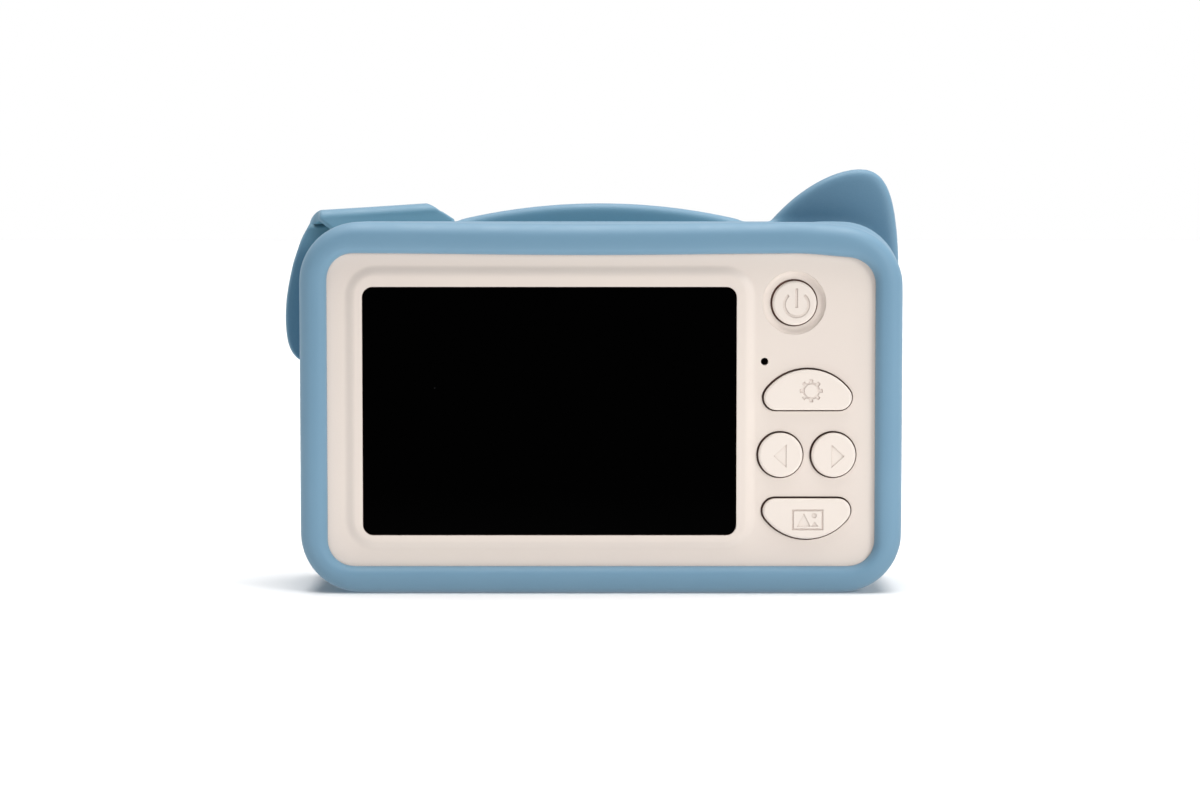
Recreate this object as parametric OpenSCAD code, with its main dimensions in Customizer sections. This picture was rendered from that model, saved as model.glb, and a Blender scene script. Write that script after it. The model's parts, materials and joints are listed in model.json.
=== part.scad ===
// Children's digital camera in a soft sleeve with animal ears.
// Millimetres. X runs right as the user sees the back, Y runs towards the lens,
// Z is up, and the origin is the middle of the base the camera stands on.
// Depths called "b" run the other way from Y, out of the back: b = -Y.

/* [Sleeve] */
// Width of the sleeve
sleeve_w = 100.8; // [99:0.2:104]
// Height of the sleeve without its ears
sleeve_h = 61.9; // [61.2:0.1:64]
// Thickness of the sleeve's side walls
sleeve_wall = 2.35; // [2.2:0.05:2.5]
// Radius of the sleeve's four corners, seen from the back
sleeve_r = 10; // [9.5:0.5:11]
// Rounding of the outer edge of the raised rim
rim_round = 2.7; // [2:0.1:3]
// Rounding of the inner edge of the raised rim
lip_round = 1.7; // [1:0.1:1.7]

/* [Casing] */
// Thickness of the moulded casing walls
wall = 1.8; // [1.6:0.1:1.8]
// Back depth of the flat part of the rear cover
cover_b = 13.3; // [13.2:0.1:13.6]
// Height of the pad around the screen
pad_rise = 0.6; // [0.3:0.1:0.8]
// Distance from the origin to the casing's front wall
front_y = 11.5; // [11.3:0.1:11.5]

/* [Screen] */
// Width and height of the black screen window
window_size = [62.3, 41.4]; // [40:0.1:64]
// Place of the middle of the window, across and up
window_at = [-8.6, 30.5]; // [-9:0.1:31]

/* [Keys] */
// Radius of the round keys
round_key_r = 3.7; // [3.4:0.02:3.8]
// Half width, height and corner radius of the arched keys
arch_key = [7.36, 6.79, 2.08]; // [1.8:0.01:7.4]
// Gap between a key and its hole
key_gap = 0.25; // [0.15:0.05:0.3]
// How far the keys stand out of the rear cover
key_rise = 0.75; // [0.5:0.05:0.8]
// Travel of the five keys on the back
key_travel = 0.5; // [0.3:0.05:0.5]
// Radius of the shutter button
shutter_r = 5.2; // [4.8:0.1:5.3]

/* [Lens] */
// Height of the lens axis above the base
lens_z = 29; // [28.5:0.5:30]
// Outer radius of the lens boss and its ring
lens_r = 14.6; // [14:0.1:14.8]

/* [Hidden] */
$fn = 64;
eps = 0.05;

mid_z = sleeve_h / 2;
face_y = 14;                              // front face of the sleeve
rim_b = cover_b + 1.7;                    // back depth of the raised rim
body_w = sleeve_w - 2 * (sleeve_wall + eps);
body_h = sleeve_h - 2 * (sleeve_wall + eps);
body_r = sleeve_r - sleeve_wall - eps;
split_b = 8.5;                            // parting plane of the two casings
inner_b = cover_b - 1.6;                  // inside face of the rear cover
side_x = body_w / 2;                      // side face of the casing
top_z = mid_z + body_h / 2;               // top face of the casing

opening_size = [91.4, 52.3];
opening_at = [0, 30.7];
opening_r = 4.3;

pad_at = [-8.5, 31];
pad_size = [68.9, 47.8];
pad_r = 5.2;
pad_slope = 2;
pad_b = cover_b + pad_rise;
window_b = pad_b - 0.12;
window_t = 1;
window_r = 1.7;
ledge_b = window_b - window_t - 0.15;

lcd_size = [60.3, 42.7];
lcd_b = [9.2, inner_b - 0.1];

board_b = [7.2, 8.4];
board_size = [body_w - 2 * 3.3, body_h - 2 * 3.3];
case_screws = [for (x = [-42.3, 42.3], z = [mid_z - 23.1, mid_z + 23.1]) [x, z]];
column_r = 2.8;
board_screws = [[-41.6, 44], [24.4, 10.5], [24.4, 49.5], [41, 42]];

power_at = [32.2, 48.6];
previous_at = [29.9, 23.25];
next_at = [38.75, 23.25];
menu_at = [34.45, 30.75];
album_at = [34.3, 15.95];
menu_switch_at = menu_at + [0, 3.1];
album_switch_at = album_at - [0, 3.1];
mic_at = [27.3, 38.8];
mic_hole_r = 0.62;
switch_at = [power_at, menu_switch_at, previous_at, next_at, album_switch_at];

key_seat = [0.08, -0.05];                 // the keys rest this far off the middle of their holes
key_b = cover_b + key_rise;
power_key_b = cover_b - 0.15;
icon_depth = 0.14;
stroke = 0.42;
dish_r = 5.3;
dish_depth = 0.8;
flange_b = [10.95, inner_b - 0.15];
plunger_r = 0.9;
switch_w = 4.5;
switch_b = 9.8;
plunger_b = [9.2, switch_b + key_travel - 0.02];

shutter_at = [31.5, -1];
shutter_top = sleeve_h - 0.3;
shutter_dish = [8.5, 1.2];
shutter_flange_z = [top_z - wall - 1.2, top_z - wall - 0.2];
shutter_board_z = [49.6, 50.6];
shutter_switch_z = 51.9;
shutter_plunger_z = [51.6, 52.9];
spring_r = 4.2;
spring_wire = 0.28;
spring_turns = 5;

usb_at = [-5.5, 16.5];                    // y, z
usb_size = [8.94, 3.26];
usb_length = 7.3;
card_at = [-6.3, 30];                     // y, z
card_size = [15, 0.8, 11];
card_cage_size = [14.8, 1.8, 14];
port_cut = [10.4, 38, 4];                 // lowest z, highest z, half width
port_cut_y = -5.9;

speaker_at = [1, 30];                     // y, z
speaker_r = 7.5;
speaker_x = [side_x - 5.7, side_x - wall - 0.25];
strap_at = [0, 16.5];                     // y, z
strap_pocket = [4, 7, 7];
strap_bar_r = 0.9;

flash_at = [6.2, lens_z + 6.2];
camera_posts = [for (x = [-9, 9]) [x, lens_z]];
glass_r = 3.3;                            // radius of the small lenses in the barrel
window_y = 15;
boss_y = 17;
battery_box = [50, 5.2, 40];

fold_left = [-48.4, 61.5];                // x, z of the folded ear's crease
fold_right = [-30.4, 62.6];
fold_y = 14.2;
fold_r = 2.5;
fold_tilt = atan2(fold_right.y - fold_left.y, fold_right.x - fold_left.x);
flap_y = [14.9, 17.0];
ear_y = [10.4, 13.9];
ear_top = 71.2;
dome_rise = 3.05;

silicone = [0.41, 0.56, 0.67];
shell = [0.90, 0.86, 0.82];
black = [0.05, 0.05, 0.06];
board_green = [0.10, 0.36, 0.24];
metal = [0.74, 0.75, 0.77];
ribbon_gold = [0.75, 0.5, 0.15];

// ---- Curves and profiles ----

// Points on an elliptical arc with centre c and radii r.
function arc(c, r, from, to, n = 8) =
    [for (i = [0:n]) let (a = from + (to - from) * i / n) c + [r.x * cos(a), r.y * sin(a)]];

// Points on a cubic curve through p[0] and p[3], pulled towards p[1] and p[2].
function curve(p, n = 12) =
    [for (i = [0:n]) let (t = i / n, s = 1 - t)
        s * s * s * p[0] + 3 * s * s * t * p[1] + 3 * s * t * t * p[2] + t * t * t * p[3]];

// An edge profile as [outset, depth] points: square, or rounded at either end.
function flat(b0, b1) = [[0, b0], [0, b1]];
function rounded(b0, b1, r0, r1) = concat(
    r0 > 0 ? arc([-r0, b0 + r0], [r0, r0], -90, 0) : [[0, b0]],
    r1 > 0 ? arc([-r1, b1 - r1], [r1, r1], 0, 90) : [[0, b1]]
);

// The smooth slope of the pad around the screen.
function pad_profile() = concat(
    [[0, cover_b - 0.5]],
    [for (i = [0:10]) let (t = i / 10) [-pad_slope * t, cover_b + pad_rise * (1 - cos(180 * t)) / 2]]
);

// The sleeve's back opening, flared so that the lip around it is round.
function flare_profile() = concat(
    [[0, inner_b]],
    [for (i = [0:8]) let (a = 90 * i / 8) [lip_round * (1 - cos(a)), cover_b + 1.7 * sin(a)]],
    [[lip_round, rim_b + 1]]
);

// Outline of an arched key given by half width, height and corner radius, grown outwards.
function arch_outline(size, grow = 0) =
    let (r = size[2], a = size[0] - r, h = size[1])
    let (big = (a * a + (r - h) * (r - h) - r * r) / (2 * (h - 2 * r)))
    let (cy = h - big, start = atan2(r - cy, a), out = [1, 1] * (r + grow))
    concat(
        arc([a, r], out, -90, start, 8),
        arc([0, cy], [1, 1] * (big + grow), start + 4, 176 - start, 14),
        arc([-a, r], out, 180 - start, 270, 8)
    );

// ---- Building blocks ----

// Draws children with x across, y up and z out of the back.
module on_back() rotate([90, 0, 0]) children();

// Draws children with x along Y, y up and z out of the side at +X.
module on_side() rotate([90, 0, 90]) children();

// A rounded rectangle seen from the back, with an edge profile from front to back.
module slab(size, r, at, profile) {
    half = [size.x / 2 - r, size.y / 2 - r];
    low = profile[0].y;
    high = profile[len(profile) - 1].y;
    section = concat([[0, low]], [for (p = profile) [r + p.x, p.y]], [[0, high]]);
    on_back() translate([at.x, at.y, 0]) {
        translate([-half.x, -half.y, low]) cube([2 * half.x, 2 * half.y, high - low]);
        for (i = [0:3]) {
            d = i % 2 == 0 ? half.x : half.y;
            l = i % 2 == 0 ? half.y : half.x;
            rotate(90 * i) translate([d, l, 0]) {
                rotate([90, 0, 0]) linear_extrude(2 * l) polygon(section);
                rotate_extrude(angle = 90) polygon(section);
            }
        }
    }
}

// A solid through rings that have the same number of points.
module loft(rings) {
    n = len(rings[0]);
    last = len(rings) - 1;
    walls = [for (i = [0:last - 1], j = [0:n - 1]) let (k = (j + 1) % n)
        [i * n + k, i * n + j, (i + 1) * n + j, (i + 1) * n + k]];
    ends = [[for (j = [0:n - 1]) j], [for (j = [n - 1:-1:0]) last * n + j]];
    polyhedron([for (ring = rings, p = ring) p], concat(walls, ends));
}

// A ring inside the casing's outline, between two insets.
module casing_ring(outer, inner, b0, b1) {
    difference() {
        casing_slab(outer, flat(b0, b1));
        casing_slab(inner, flat(b0 - 1, b1 + 1));
    }
}

module casing_slab(inset, profile) {
    slab([body_w - 2 * inset, body_h - 2 * inset], body_r - inset, [0, mid_z], profile);
}

// A round bar along the depth, a box given by its corners, and a stadium hole.
module bar(at, r, b0, b1) on_back() translate([at.x, at.y, b0]) cylinder(r = r, h = b1 - b0);

module block(low, high) translate(low) cube(high - low);

module stadium(w, h, length) {
    linear_extrude(length) {
        square([w - h, h], center = true);
        for (s = [-1, 1]) translate([s * (w - h) / 2, 0]) circle(r = h / 2);
    }
}

// A screw driven towards the back, with a cross recess in its head.
module screw(at, head_b, tip_b, r, head_r, head_h) {
    difference() {
        union() {
            bar(at, head_r, head_b, head_b + head_h);
            bar(at, r, head_b + head_h - 0.1, tip_b);
        }
        on_back() translate([at.x, at.y, head_b - 0.1]) for (a = [0, 90]) rotate(a)
            translate([-head_r * 0.6, -0.2, 0]) cube([head_r * 1.2, 0.4, head_h / 2 + 0.1]);
    }
}

// ---- Sleeve ----

module silicone_sleeve() {
    color(silicone) difference() {
        union() {
            slab([sleeve_w, sleeve_h], sleeve_r, [0, mid_z], rounded(-face_y, rim_b, 3, rim_round));
            head_dome();
            upright_ear();
        }
        slab([body_w + eps, body_h + eps], body_r, [0, mid_z], flat(-front_y - eps, cover_b + eps));
        slab(opening_size, opening_r, opening_at, flare_profile());
        bar([0, lens_z], lens_r + 0.3, -face_y - 6, 0);
        shutter_cut();
        side_cuts();
        inlay_shapes(0.05, 12.8);
        fold_bar(fold_r + 0.2, 0.4);
    }
}

// The low dome of the head between the ears.
module head_dome() {
    dome_r = 107;
    half_w = 25.4;
    intersection() {
        bar([-0.2, sleeve_h + dome_rise - dome_r], dome_r, -face_y + 0.2, -front_y - eps);
        block([-half_w, front_y - 1, top_z - 5], [half_w, face_y + 1, sleeve_h + dome_rise + 1]);
    }
}

function ear_outline() = concat(
    curve([[28.2, 60.4], [33, 66.8], [40, ear_top], [45.3, ear_top]]),
    curve([[45.3, ear_top], [50.3, ear_top], [51.4, 65.8], [52, 57]]),
    curve([[52, 57], [52.3, 50], [51.6, 43], [49.8, 37]], 8),
    [[46, 37], [46, 56], [30, 56]]
);

// An outline seen from the back, given thickness between two distances from the origin.
module sheet(outline, y) {
    on_back() translate([0, 0, -y[1]]) linear_extrude(y[1] - y[0]) polygon(outline);
}

module upright_ear() {
    difference() {
        sheet(ear_outline(), ear_y);
        casing_slab(-0.1, flat(-front_y - eps, 0));
    }
}

// The round crease that the folded ear turns on.
module fold_bar(r, extra) {
    length = norm(fold_right - fold_left) + 2 * extra;
    translate([fold_left.x, fold_y, fold_left.y]) rotate([0, 90 - fold_tilt, 0])
        translate([0, 0, -extra]) cylinder(r = r, h = length);
}

function flap_outline() = concat(
    [fold_right],
    curve([fold_right, [-33.5, 54], [-39, 44], [-46.5, 38.4]]),
    curve([[-46.5, 38.4], [-51.5, 34.8], [-56.3, 37.4], [-55.6, 45.5]]),
    curve([[-55.6, 45.5], [-55, 53], [-52.5, 60], fold_left])
);

module ear_flap() {
    color(silicone) {
        sheet(flap_outline(), flap_y);
        fold_bar(fold_r, 0);
    }
}

// Two eyes and a nose, set into the sleeve's face. gap widens them for their pockets.
module inlay_shapes(gap, back_y) {
    for (x = [-25, 25]) bar([x, 41], 2.5 + gap, -face_y - 0.2, -back_y);
    on_back() translate([0, 50.4, -face_y - 0.2]) linear_extrude(face_y + 0.2 - back_y) {
        square([3.4, 4.2 + 2 * gap], center = true);
        for (s = [-1, 1]) translate([s * 1.7, 0]) circle(r = 2.1 + gap);
    }
}

module face_inlays() color(black) inlay_shapes(0, 12.85);

module shutter_cut() {
    slope = 1.4;
    at_shutter(sleeve_h - shutter_dish[1])
        cylinder(r1 = shutter_dish[0] - slope, r2 = shutter_dish[0], h = slope);
    at_shutter(top_z - 1) cylinder(r = shutter_r + 1, h = 5);
}

// Openings in the sleeve's sides for the ports, the speaker and the strap.
module side_cuts() {
    ports_mid = (port_cut[0] + port_cut[1]) / 2;
    on_side() translate([port_cut_y, ports_mid, -sleeve_w / 2 - 1]) rotate(90)
        stadium(port_cut[1] - port_cut[0], 2 * port_cut[2], 6);
    on_side() translate([speaker_at.x, speaker_at.y, side_x - 2]) cylinder(r = 5.6, h = 6);
    on_side() translate([strap_at.x, strap_at.y, side_x - 2]) rotate(90) stadium(9.4, 8, 6);
}

// ---- Casing ----

module rear_cover() {
    color(shell) difference() {
        union() {
            difference() {
                casing_slab(0, rounded(split_b, cover_b, 0, 1));
                casing_slab(wall, flat(split_b - 1, inner_b));
            }
            difference() {
                union() {
                    casing_ring(wall - 0.1, wall + 0.9, split_b + 0.1, inner_b + 0.1);
                    casing_ring(wall + 0.1, wall + 0.9, split_b - 1.2, split_b + 0.2);
                }
                for (s = case_screws) bar(s, column_r + 0.2, 0, split_b + eps);
            }
            slab(pad_size, pad_r, pad_at, pad_profile());
            for (s = case_screws) bar(s, column_r, split_b + 0.1, inner_b + 0.1);
            for (s = board_screws) bar(s, 1.6, board_b[1] + 0.02, inner_b + 0.1);
        }
        slab(window_size + [0.14, 0.14], window_r + eps, window_at, flat(ledge_b, pad_b + 1));
        slab(window_size - [3, 3], 1, window_at, flat(inner_b - 1, pad_b));
        for (s = case_screws) bar(s, 1, 0, inner_b - 0.4);
        for (s = board_screws) bar(s, 0.75, 0, inner_b - 0.5);
        for (at = [power_at, previous_at, next_at])
            bar(at, round_key_r + key_gap, inner_b - 1, cover_b + 1);
        key_dish();
        arch_hole(menu_at, 0);
        arch_hole(album_at, 180);
        bar(mic_at, mic_hole_r, inner_b - 1, cover_b + 1);
    }
}

// The round hollow that the power button sits in.
module key_dish() {
    edge = 1.1;
    slope = arc([dish_r - edge, cover_b], [edge, dish_depth], -90, 0);
    mouth = [[dish_r, cover_b + 1], [0, cover_b + 1]];
    on_back() translate([power_at.x, power_at.y, 0]) rotate_extrude()
        polygon(concat([[0, cover_b - dish_depth]], slope, mouth));
}

module arch_hole(at, turn) {
    on_back() translate([at.x, at.y, inner_b - 1]) rotate(turn) linear_extrude(4)
        polygon(arch_outline(arch_key, key_gap));
}

module front_cover() {
    color(shell) difference() {
        union() {
            difference() {
                casing_slab(0, rounded(-front_y, split_b, 2, 0));
                casing_slab(wall, flat(wall - front_y, split_b + 1));
            }
            for (s = case_screws) bar(s, column_r, -front_y + 1, split_b);
            bar([0, lens_z], lens_r, -boss_y, -front_y + 0.5);
            for (s = camera_posts) bar(s, 1.8, wall - front_y - 0.1, -2.85);
            strap_housing();
            for (x = [25.2, 37.8]) block([x - 0.6, -5, 47.5], [x + 0.6, front_y - 1, shutter_board_z[0]]);
        }
        bar([0, lens_z], lens_r - 2, -boss_y - 1, -front_y);
        bar([0, lens_z], 5, -front_y - 1, 1);
        bar(flash_at, 2.6, -front_y - 1, 1 - front_y + wall);
        for (s = camera_posts) bar(s, 0.75, -7, -2);
        for (s = case_screws) {
            bar(s, 1.05, -front_y - 1, split_b + 1);
            bar(s, 2.1, -front_y - 1, -9.9);
        }
        translate([shutter_at.x, shutter_at.y, top_z - wall - 1]) cylinder(r = shutter_r + key_gap, h = 4);
        port_holes();
        speaker_holes();
        strap_pocket_cut();
    }
}

module port_holes() {
    gap = 0.18;
    slit = [4, 1.4, 11.8];
    at_usb(-side_x - 1) stadium(usb_size.x + 2 * gap, usb_size.y + 2 * gap, 4);
    translate([-side_x - 1, card_at.x - slit.y / 2, card_at.y - slit.z / 2]) cube(slit);
}

// A grille of one hole and six round it.
module speaker_holes() {
    spots = concat([[0, 0]], [for (a = [0:60:300]) 3 * [cos(a), sin(a)]]);
    for (p = spots) on_side() translate([speaker_at.x + p.x, speaker_at.y + p.y, side_x - 3])
        cylinder(r = 0.8, h = 4, $fn = 24);
}

module strap_housing() {
    half = [strap_pocket.y / 2 + 1.2, strap_pocket.z / 2 + 1.2];
    block([side_x - strap_pocket.x - 1.2, strap_at.x - half.x, strap_at.y - half.y],
          [side_x - 0.5, strap_at.x + half.x, strap_at.y + half.y]);
}

module strap_pocket_cut() {
    block([side_x - strap_pocket.x, strap_at.x - strap_pocket.y / 2, strap_at.y - strap_pocket.z / 2],
          [side_x + 1, strap_at.x + strap_pocket.y / 2, strap_at.y + strap_pocket.z / 2]);
    strap_cylinder(strap_bar_r + 0.02, 4.42);
}

module strap_cylinder(r, reach) {
    translate([side_x - 1.4, strap_at.x, strap_at.y - reach]) cylinder(r = r, h = 2 * reach);
}

module strap_bar() color(metal) strap_cylinder(strap_bar_r, 4.4);

module cover_screws() color(metal) for (s = case_screws) screw(s, -11.35, inner_b - 0.6, 0.95, 1.9, 1.4);

// ---- Screen ----

module screen_window() {
    edge = 0.08;
    color(black) slab(window_size, window_r, window_at, rounded(window_b - window_t, window_b, 0, edge));
}

module window_adhesive() {
    color(black) difference() {
        slab(window_size - [0.4, 0.4], 1.5, window_at, flat(ledge_b + 0.01, window_b - window_t));
        slab(window_size - [2.8, 2.8], 1, window_at, flat(ledge_b - 1, window_b));
    }
}

module lcd_panel() color([0.1, 0.11, 0.14]) slab(lcd_size - [2, 2], 0.3, window_at, flat(10.6, 11.5));

module lcd_backlight() color([0.95, 0.95, 0.92]) slab(lcd_size - [2, 2], 0.3, window_at, flat(9.85, 10.55));

module lcd_frame() {
    color(metal) difference() {
        slab(lcd_size, 0.6, window_at, flat(lcd_b[0], lcd_b[1]));
        slab(lcd_size - [1.6, 1.6], 0.5, window_at, flat(9.8, lcd_b[1] + 1));
    }
}

// A thin strip that leaves the screen's lower edge and folds back under it to the board.
module lcd_ribbon() {
    edge_z = window_at.y - lcd_size.y / 2 - 0.1;
    path = [[-10.3, edge_z], [-10.3, edge_z - 1.9], [-8.6, edge_z - 1.9], [-8.6, edge_z + 3]];
    color(ribbon_gold) ribbon(path, -18, 20, 0.15);
}

// A flat strip along straight stretches in the Y-Z plane, with its width along X.
module ribbon(path, x0, width, t) {
    for (i = [0:len(path) - 2]) {
        low = [min(path[i].x, path[i + 1].x), min(path[i].y, path[i + 1].y)];
        high = [max(path[i].x, path[i + 1].x), max(path[i].y, path[i + 1].y)];
        block([x0, low.x - t / 2, low.y - t / 2], [x0 + width, high.x + t / 2, high.y + t / 2]);
    }
}

// ---- Keys ----

// Sinks a symbol, given as children, into the face of a key.
module engrave(at, face_b) {
    on_back() translate([at.x, at.y, face_b - icon_depth]) linear_extrude(1) children();
}

module round_key(hole_at, top_b, icon_at) {
    at = hole_at + key_seat;
    edge = 0.45;
    flange_r = round_key_r + 0.55;
    stem_r = 1.2;
    profile = concat(
        [[0, plunger_b[1] + 0.02], [stem_r, plunger_b[1] + 0.02], [stem_r, flange_b[0]]],
        [[flange_r, flange_b[0]], [flange_r, flange_b[1]], [round_key_r, flange_b[1]]],
        arc([round_key_r - edge, top_b - edge], [edge, edge], 0, 90, 6),
        [[0, top_b]]
    );
    color(shell) difference() {
        on_back() translate([at.x, at.y, 0]) rotate_extrude() polygon(profile);
        engrave(hole_at + icon_at, top_b) children();
    }
}

// An arched key: its outline grown or shrunk at each depth, from the flange to the rounded top.
module arch_key_body(hole_at, turn, switch_at, icon_at) {
    at = hole_at + key_seat;
    edge = 0.45;
    levels = concat(
        [[0.7, flange_b[0]], [0.7, flange_b[1]], [0, flange_b[1]]],
        arc([-edge, key_b - edge], [edge, edge], 0, 90, 5)
    );
    color(shell) difference() {
        union() {
            on_back() translate([at.x, at.y, 0]) rotate(turn)
                loft([for (l = levels) [for (p = arch_outline(arch_key, l.x)) [p.x, p.y, l.y]]]);
            bar(switch_at, 1.2, plunger_b[1] + 0.02, flange_b[0] + 0.2);
        }
        engrave(hole_at + icon_at, key_b) children();
    }
}

// ---- Engraved symbols ----

module ring_2d(r, t) {
    difference() {
        circle(r = r + t / 2);
        circle(r = r - t / 2);
    }
}

// A ring open at the top, with a bar through the opening.
module power_icon() {
    r = 2.03;
    half_gap = 41;
    difference() {
        ring_2d(r, stroke);
        polygon([[0, 0], for (a = [90 - half_gap, 90, 90 + half_gap]) 2 * r * [cos(a), sin(a)]]);
    }
    translate([-stroke / 2, -0.5]) square([stroke, 3.15]);
}

module gear_icon() {
    ring_2d(1.27, 0.3);
    for (a = [0:45:315]) rotate(a) translate([1.3, -0.28]) square([0.58, 0.56]);
}

// A sunken triangle that points left (-1) or right (1).
module arrow_icon(way) polygon([[way * 1.05, 0], [-way * 1.05, 1.9], [-way * 1.05, -1.9]]);

// A framed picture of two hills and the sun.
module picture_icon() {
    frame = [5.2, 3.45];
    line = 0.26;
    difference() {
        square(frame, center = true);
        square(frame - 2 * [line, line], center = true);
    }
    polygon([[-1.75, -1.1], [-0.64, 1.05], [0.44, -1.1]]);
    polygon([[0.62, -1.1], [1.15, -0.35], [1.75, -1.1]]);
    translate([1.08, 0.7]) circle(r = 0.4, $fn = 24);
}

module power_button() round_key(power_at, power_key_b, [0.4, -0.3]) power_icon();

module previous_button() round_key(previous_at, key_b, [0, -0.2]) arrow_icon(-1);

module next_button() round_key(next_at, key_b, [0.8, -0.25]) arrow_icon(1);

module menu_button() arch_key_body(menu_at, 0, menu_switch_at, [0.6, 3.2]) gear_icon();

module album_button() arch_key_body(album_at, 180, album_switch_at, [0.25, -3.6]) picture_icon();

module key_plunger(at) color(black) bar(at, plunger_r, plunger_b[0], plunger_b[1]);

module key_switches() {
    half = switch_w / 2;
    leg = [0.5, 0.25, 0.35];              // half width, thickness, half length
    leg_at = [2.7, 1.4];
    color(metal) for (at = switch_at) {
        difference() {
            block([at.x - half, -switch_b, at.y - half], [at.x + half, -board_b[1], at.y + half]);
            bar(at, plunger_r + 0.1, 8.6, switch_b + 1);
        }
        for (sx = [-1, 1], sz = [-1, 1]) {
            x = at.x + sx * leg_at.x;
            z = at.y + sz * leg_at.y;
            block([x - leg.x, -board_b[1] - leg.y, z - leg.z], [x + leg.x, -board_b[1], z + leg.z]);
        }
    }
}

// ---- Shutter ----

module at_shutter(z) translate([shutter_at.x, shutter_at.y, z]) children();

module shutter_button() {
    low = shutter_plunger_z[1] + 0.02;
    stem_r = 1.4;
    flange_r = shutter_r + 0.8;
    edge = 0.8;
    profile = concat(
        [[0, low], [stem_r, low], [stem_r, shutter_flange_z[0]]],
        [[flange_r, shutter_flange_z[0]], [flange_r, shutter_flange_z[1]], [shutter_r, shutter_flange_z[1]]],
        arc([shutter_r - edge, shutter_top - edge], [edge, edge], 0, 90, 8),
        arc([0, shutter_top + 0.2], [shutter_r - 1.4, 0.5], 0, -90, 10)
    );
    color(shell) at_shutter(0) rotate_extrude() polygon(profile);
}

// A coil of round wire, drawn as a tube along a helix.
module shutter_spring() {
    sides = 8;
    steps = spring_turns * 20;
    base = shutter_board_z[1] + spring_wire;
    rise = shutter_flange_z[0] - spring_wire - base;
    points = [for (i = [0:steps]) let (a = 360 * spring_turns * i / steps) for (j = [0:sides - 1])
        let (q = 360 * j / sides, r = spring_r + spring_wire * cos(q))
            [r * cos(a), r * sin(a), base + rise * i / steps + spring_wire * sin(q)]];
    walls = [for (i = [0:steps - 1], j = [0:sides - 1]) let (k = (j + 1) % sides)
        [i * sides + j, (i + 1) * sides + j, (i + 1) * sides + k, i * sides + k]];
    ends = [[for (j = [0:sides - 1]) j], [for (j = [sides - 1:-1:0]) steps * sides + j]];
    color(metal) at_shutter(0) polyhedron(points, concat(walls, ends));
}

module shutter_plunger() {
    height = shutter_plunger_z[1] - shutter_plunger_z[0];
    color(black) at_shutter(shutter_plunger_z[0]) cylinder(r = plunger_r, h = height);
}

module shutter_switch() {
    half = switch_w / 2;
    color(metal) difference() {
        block([shutter_at.x - half, shutter_at.y - half, shutter_board_z[1]],
              [shutter_at.x + half, shutter_at.y + half, shutter_switch_z]);
        at_shutter(50.7) cylinder(r = plunger_r + 0.1, h = 3);
    }
}

module shutter_board() {
    half = [6.7, 6];
    color(board_green) block([shutter_at.x - half.x, -half.y, shutter_board_z[0]],
                             [shutter_at.x + half.x, half.y, shutter_board_z[1]]);
}

// ---- Main board ----

module main_board() {
    color(board_green) difference() {
        slab(board_size, 4, [0, mid_z], flat(board_b[0], board_b[1]));
        for (s = case_screws) bar(s, column_r + 0.3, 0, 20);
        for (s = board_screws) bar(s, 0.8, 0, 20);
    }
}

module board_screws() {
    color(metal) for (s = board_screws) screw(s, board_b[0] - 0.9, inner_b - 0.7, 0.7, 1.5, 0.9);
}

// A part soldered to the front of the main board, given by centre, size and height.
module chip(at, size, height) {
    half = size / 2;
    block([at.x - half.x, -board_b[0], at.y - half.y],
          [at.x + half.x, -board_b[0] + height, at.y + half.y]);
}

module processor_chip() color(black) chip([4, 30], [12, 12], 1.1);

module memory_chip() color(black) chip([-12, 32], [9, 7], 1);

module board_components() {
    color([0.75, 0.72, 0.66]) {
        chip([-31, 52.6], [7, 4], 3.2);
        chip([0, 53.2], [10, 2.6], 1);
        chip([-21, 22], [4, 4], 0.8);
        chip([14, 18], [3.2, 2.5], 0.8);
        for (i = [0:5]) chip([-8 + 4 * i, 41], [1.6, 0.8], 0.8);
        for (i = [0:3]) chip([-4 + 5 * i, 16], [1, 2], 0.9);
        block([-18, -board_b[1] - 0.7, window_at.y - 18.3], [2, -board_b[1], window_at.y - 16]);
    }
}

module battery_cell() {
    low = [-29, -5.6, 9];
    edge_r = battery_box.y / 2;
    inset = [edge_r - 0.1, 0, 0];
    color([0.72, 0.74, 0.78]) {
        block(low + inset, low + battery_box - inset);
        for (x = [edge_r, battery_box.x - edge_r])
            translate(low + [x, edge_r, 0]) cylinder(r = edge_r, h = battery_box.z);
    }
}

// A wire of straight stretches with round bends.
module wire(path, r) {
    for (i = [0:len(path) - 2]) {
        d = path[i + 1] - path[i];
        translate(path[i]) rotate([0, acos(d.z / norm(d)), atan2(d.y, d.x)])
            cylinder(r = r, h = norm(d), $fn = 24);
        if (i > 0) translate(path[i]) sphere(r = r * 1.1, $fn = 24);
    }
}

// A lead from the battery's top edge, up and across to the connector.
module battery_lead(x, z) wire([[x, -3, 49.05], [x, -3, z], [-27, -5, z]], 0.45);

module battery_lead_red() color([0.8, 0.1, 0.1]) battery_lead(-26.4, 53.3);

module battery_lead_black() color(black) battery_lead(-24.6, 51.5);

module microphone() color(metal) bar(mic_at, 1.7, board_b[1], 10.6);

module microphone_boot() {
    color(black) difference() {
        bar(mic_at, 2.2, 8.8, inner_b - eps);
        bar(mic_at, 1.72, 8, 10.65);
        bar(mic_at, mic_hole_r - 0.02, 8, 13);
    }
}

// ---- Speaker ----

module at_speaker(x) on_side() translate([speaker_at.x, speaker_at.y, x]) children();

module speaker_frame() {
    color(black) difference() {
        at_speaker(speaker_x[0]) cylinder(r = speaker_r, h = speaker_x[1] - speaker_x[0]);
        at_speaker(speaker_x[0] - 1) cylinder(r = 4.05, h = 2.6);
        at_speaker(speaker_x[1] - 0.8) cylinder(r1 = 3, r2 = 6.4, h = 0.9);
    }
}

module speaker_magnet() color(metal) at_speaker(speaker_x[0] - 1.2) cylinder(r = 4, h = 2.7);

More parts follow.
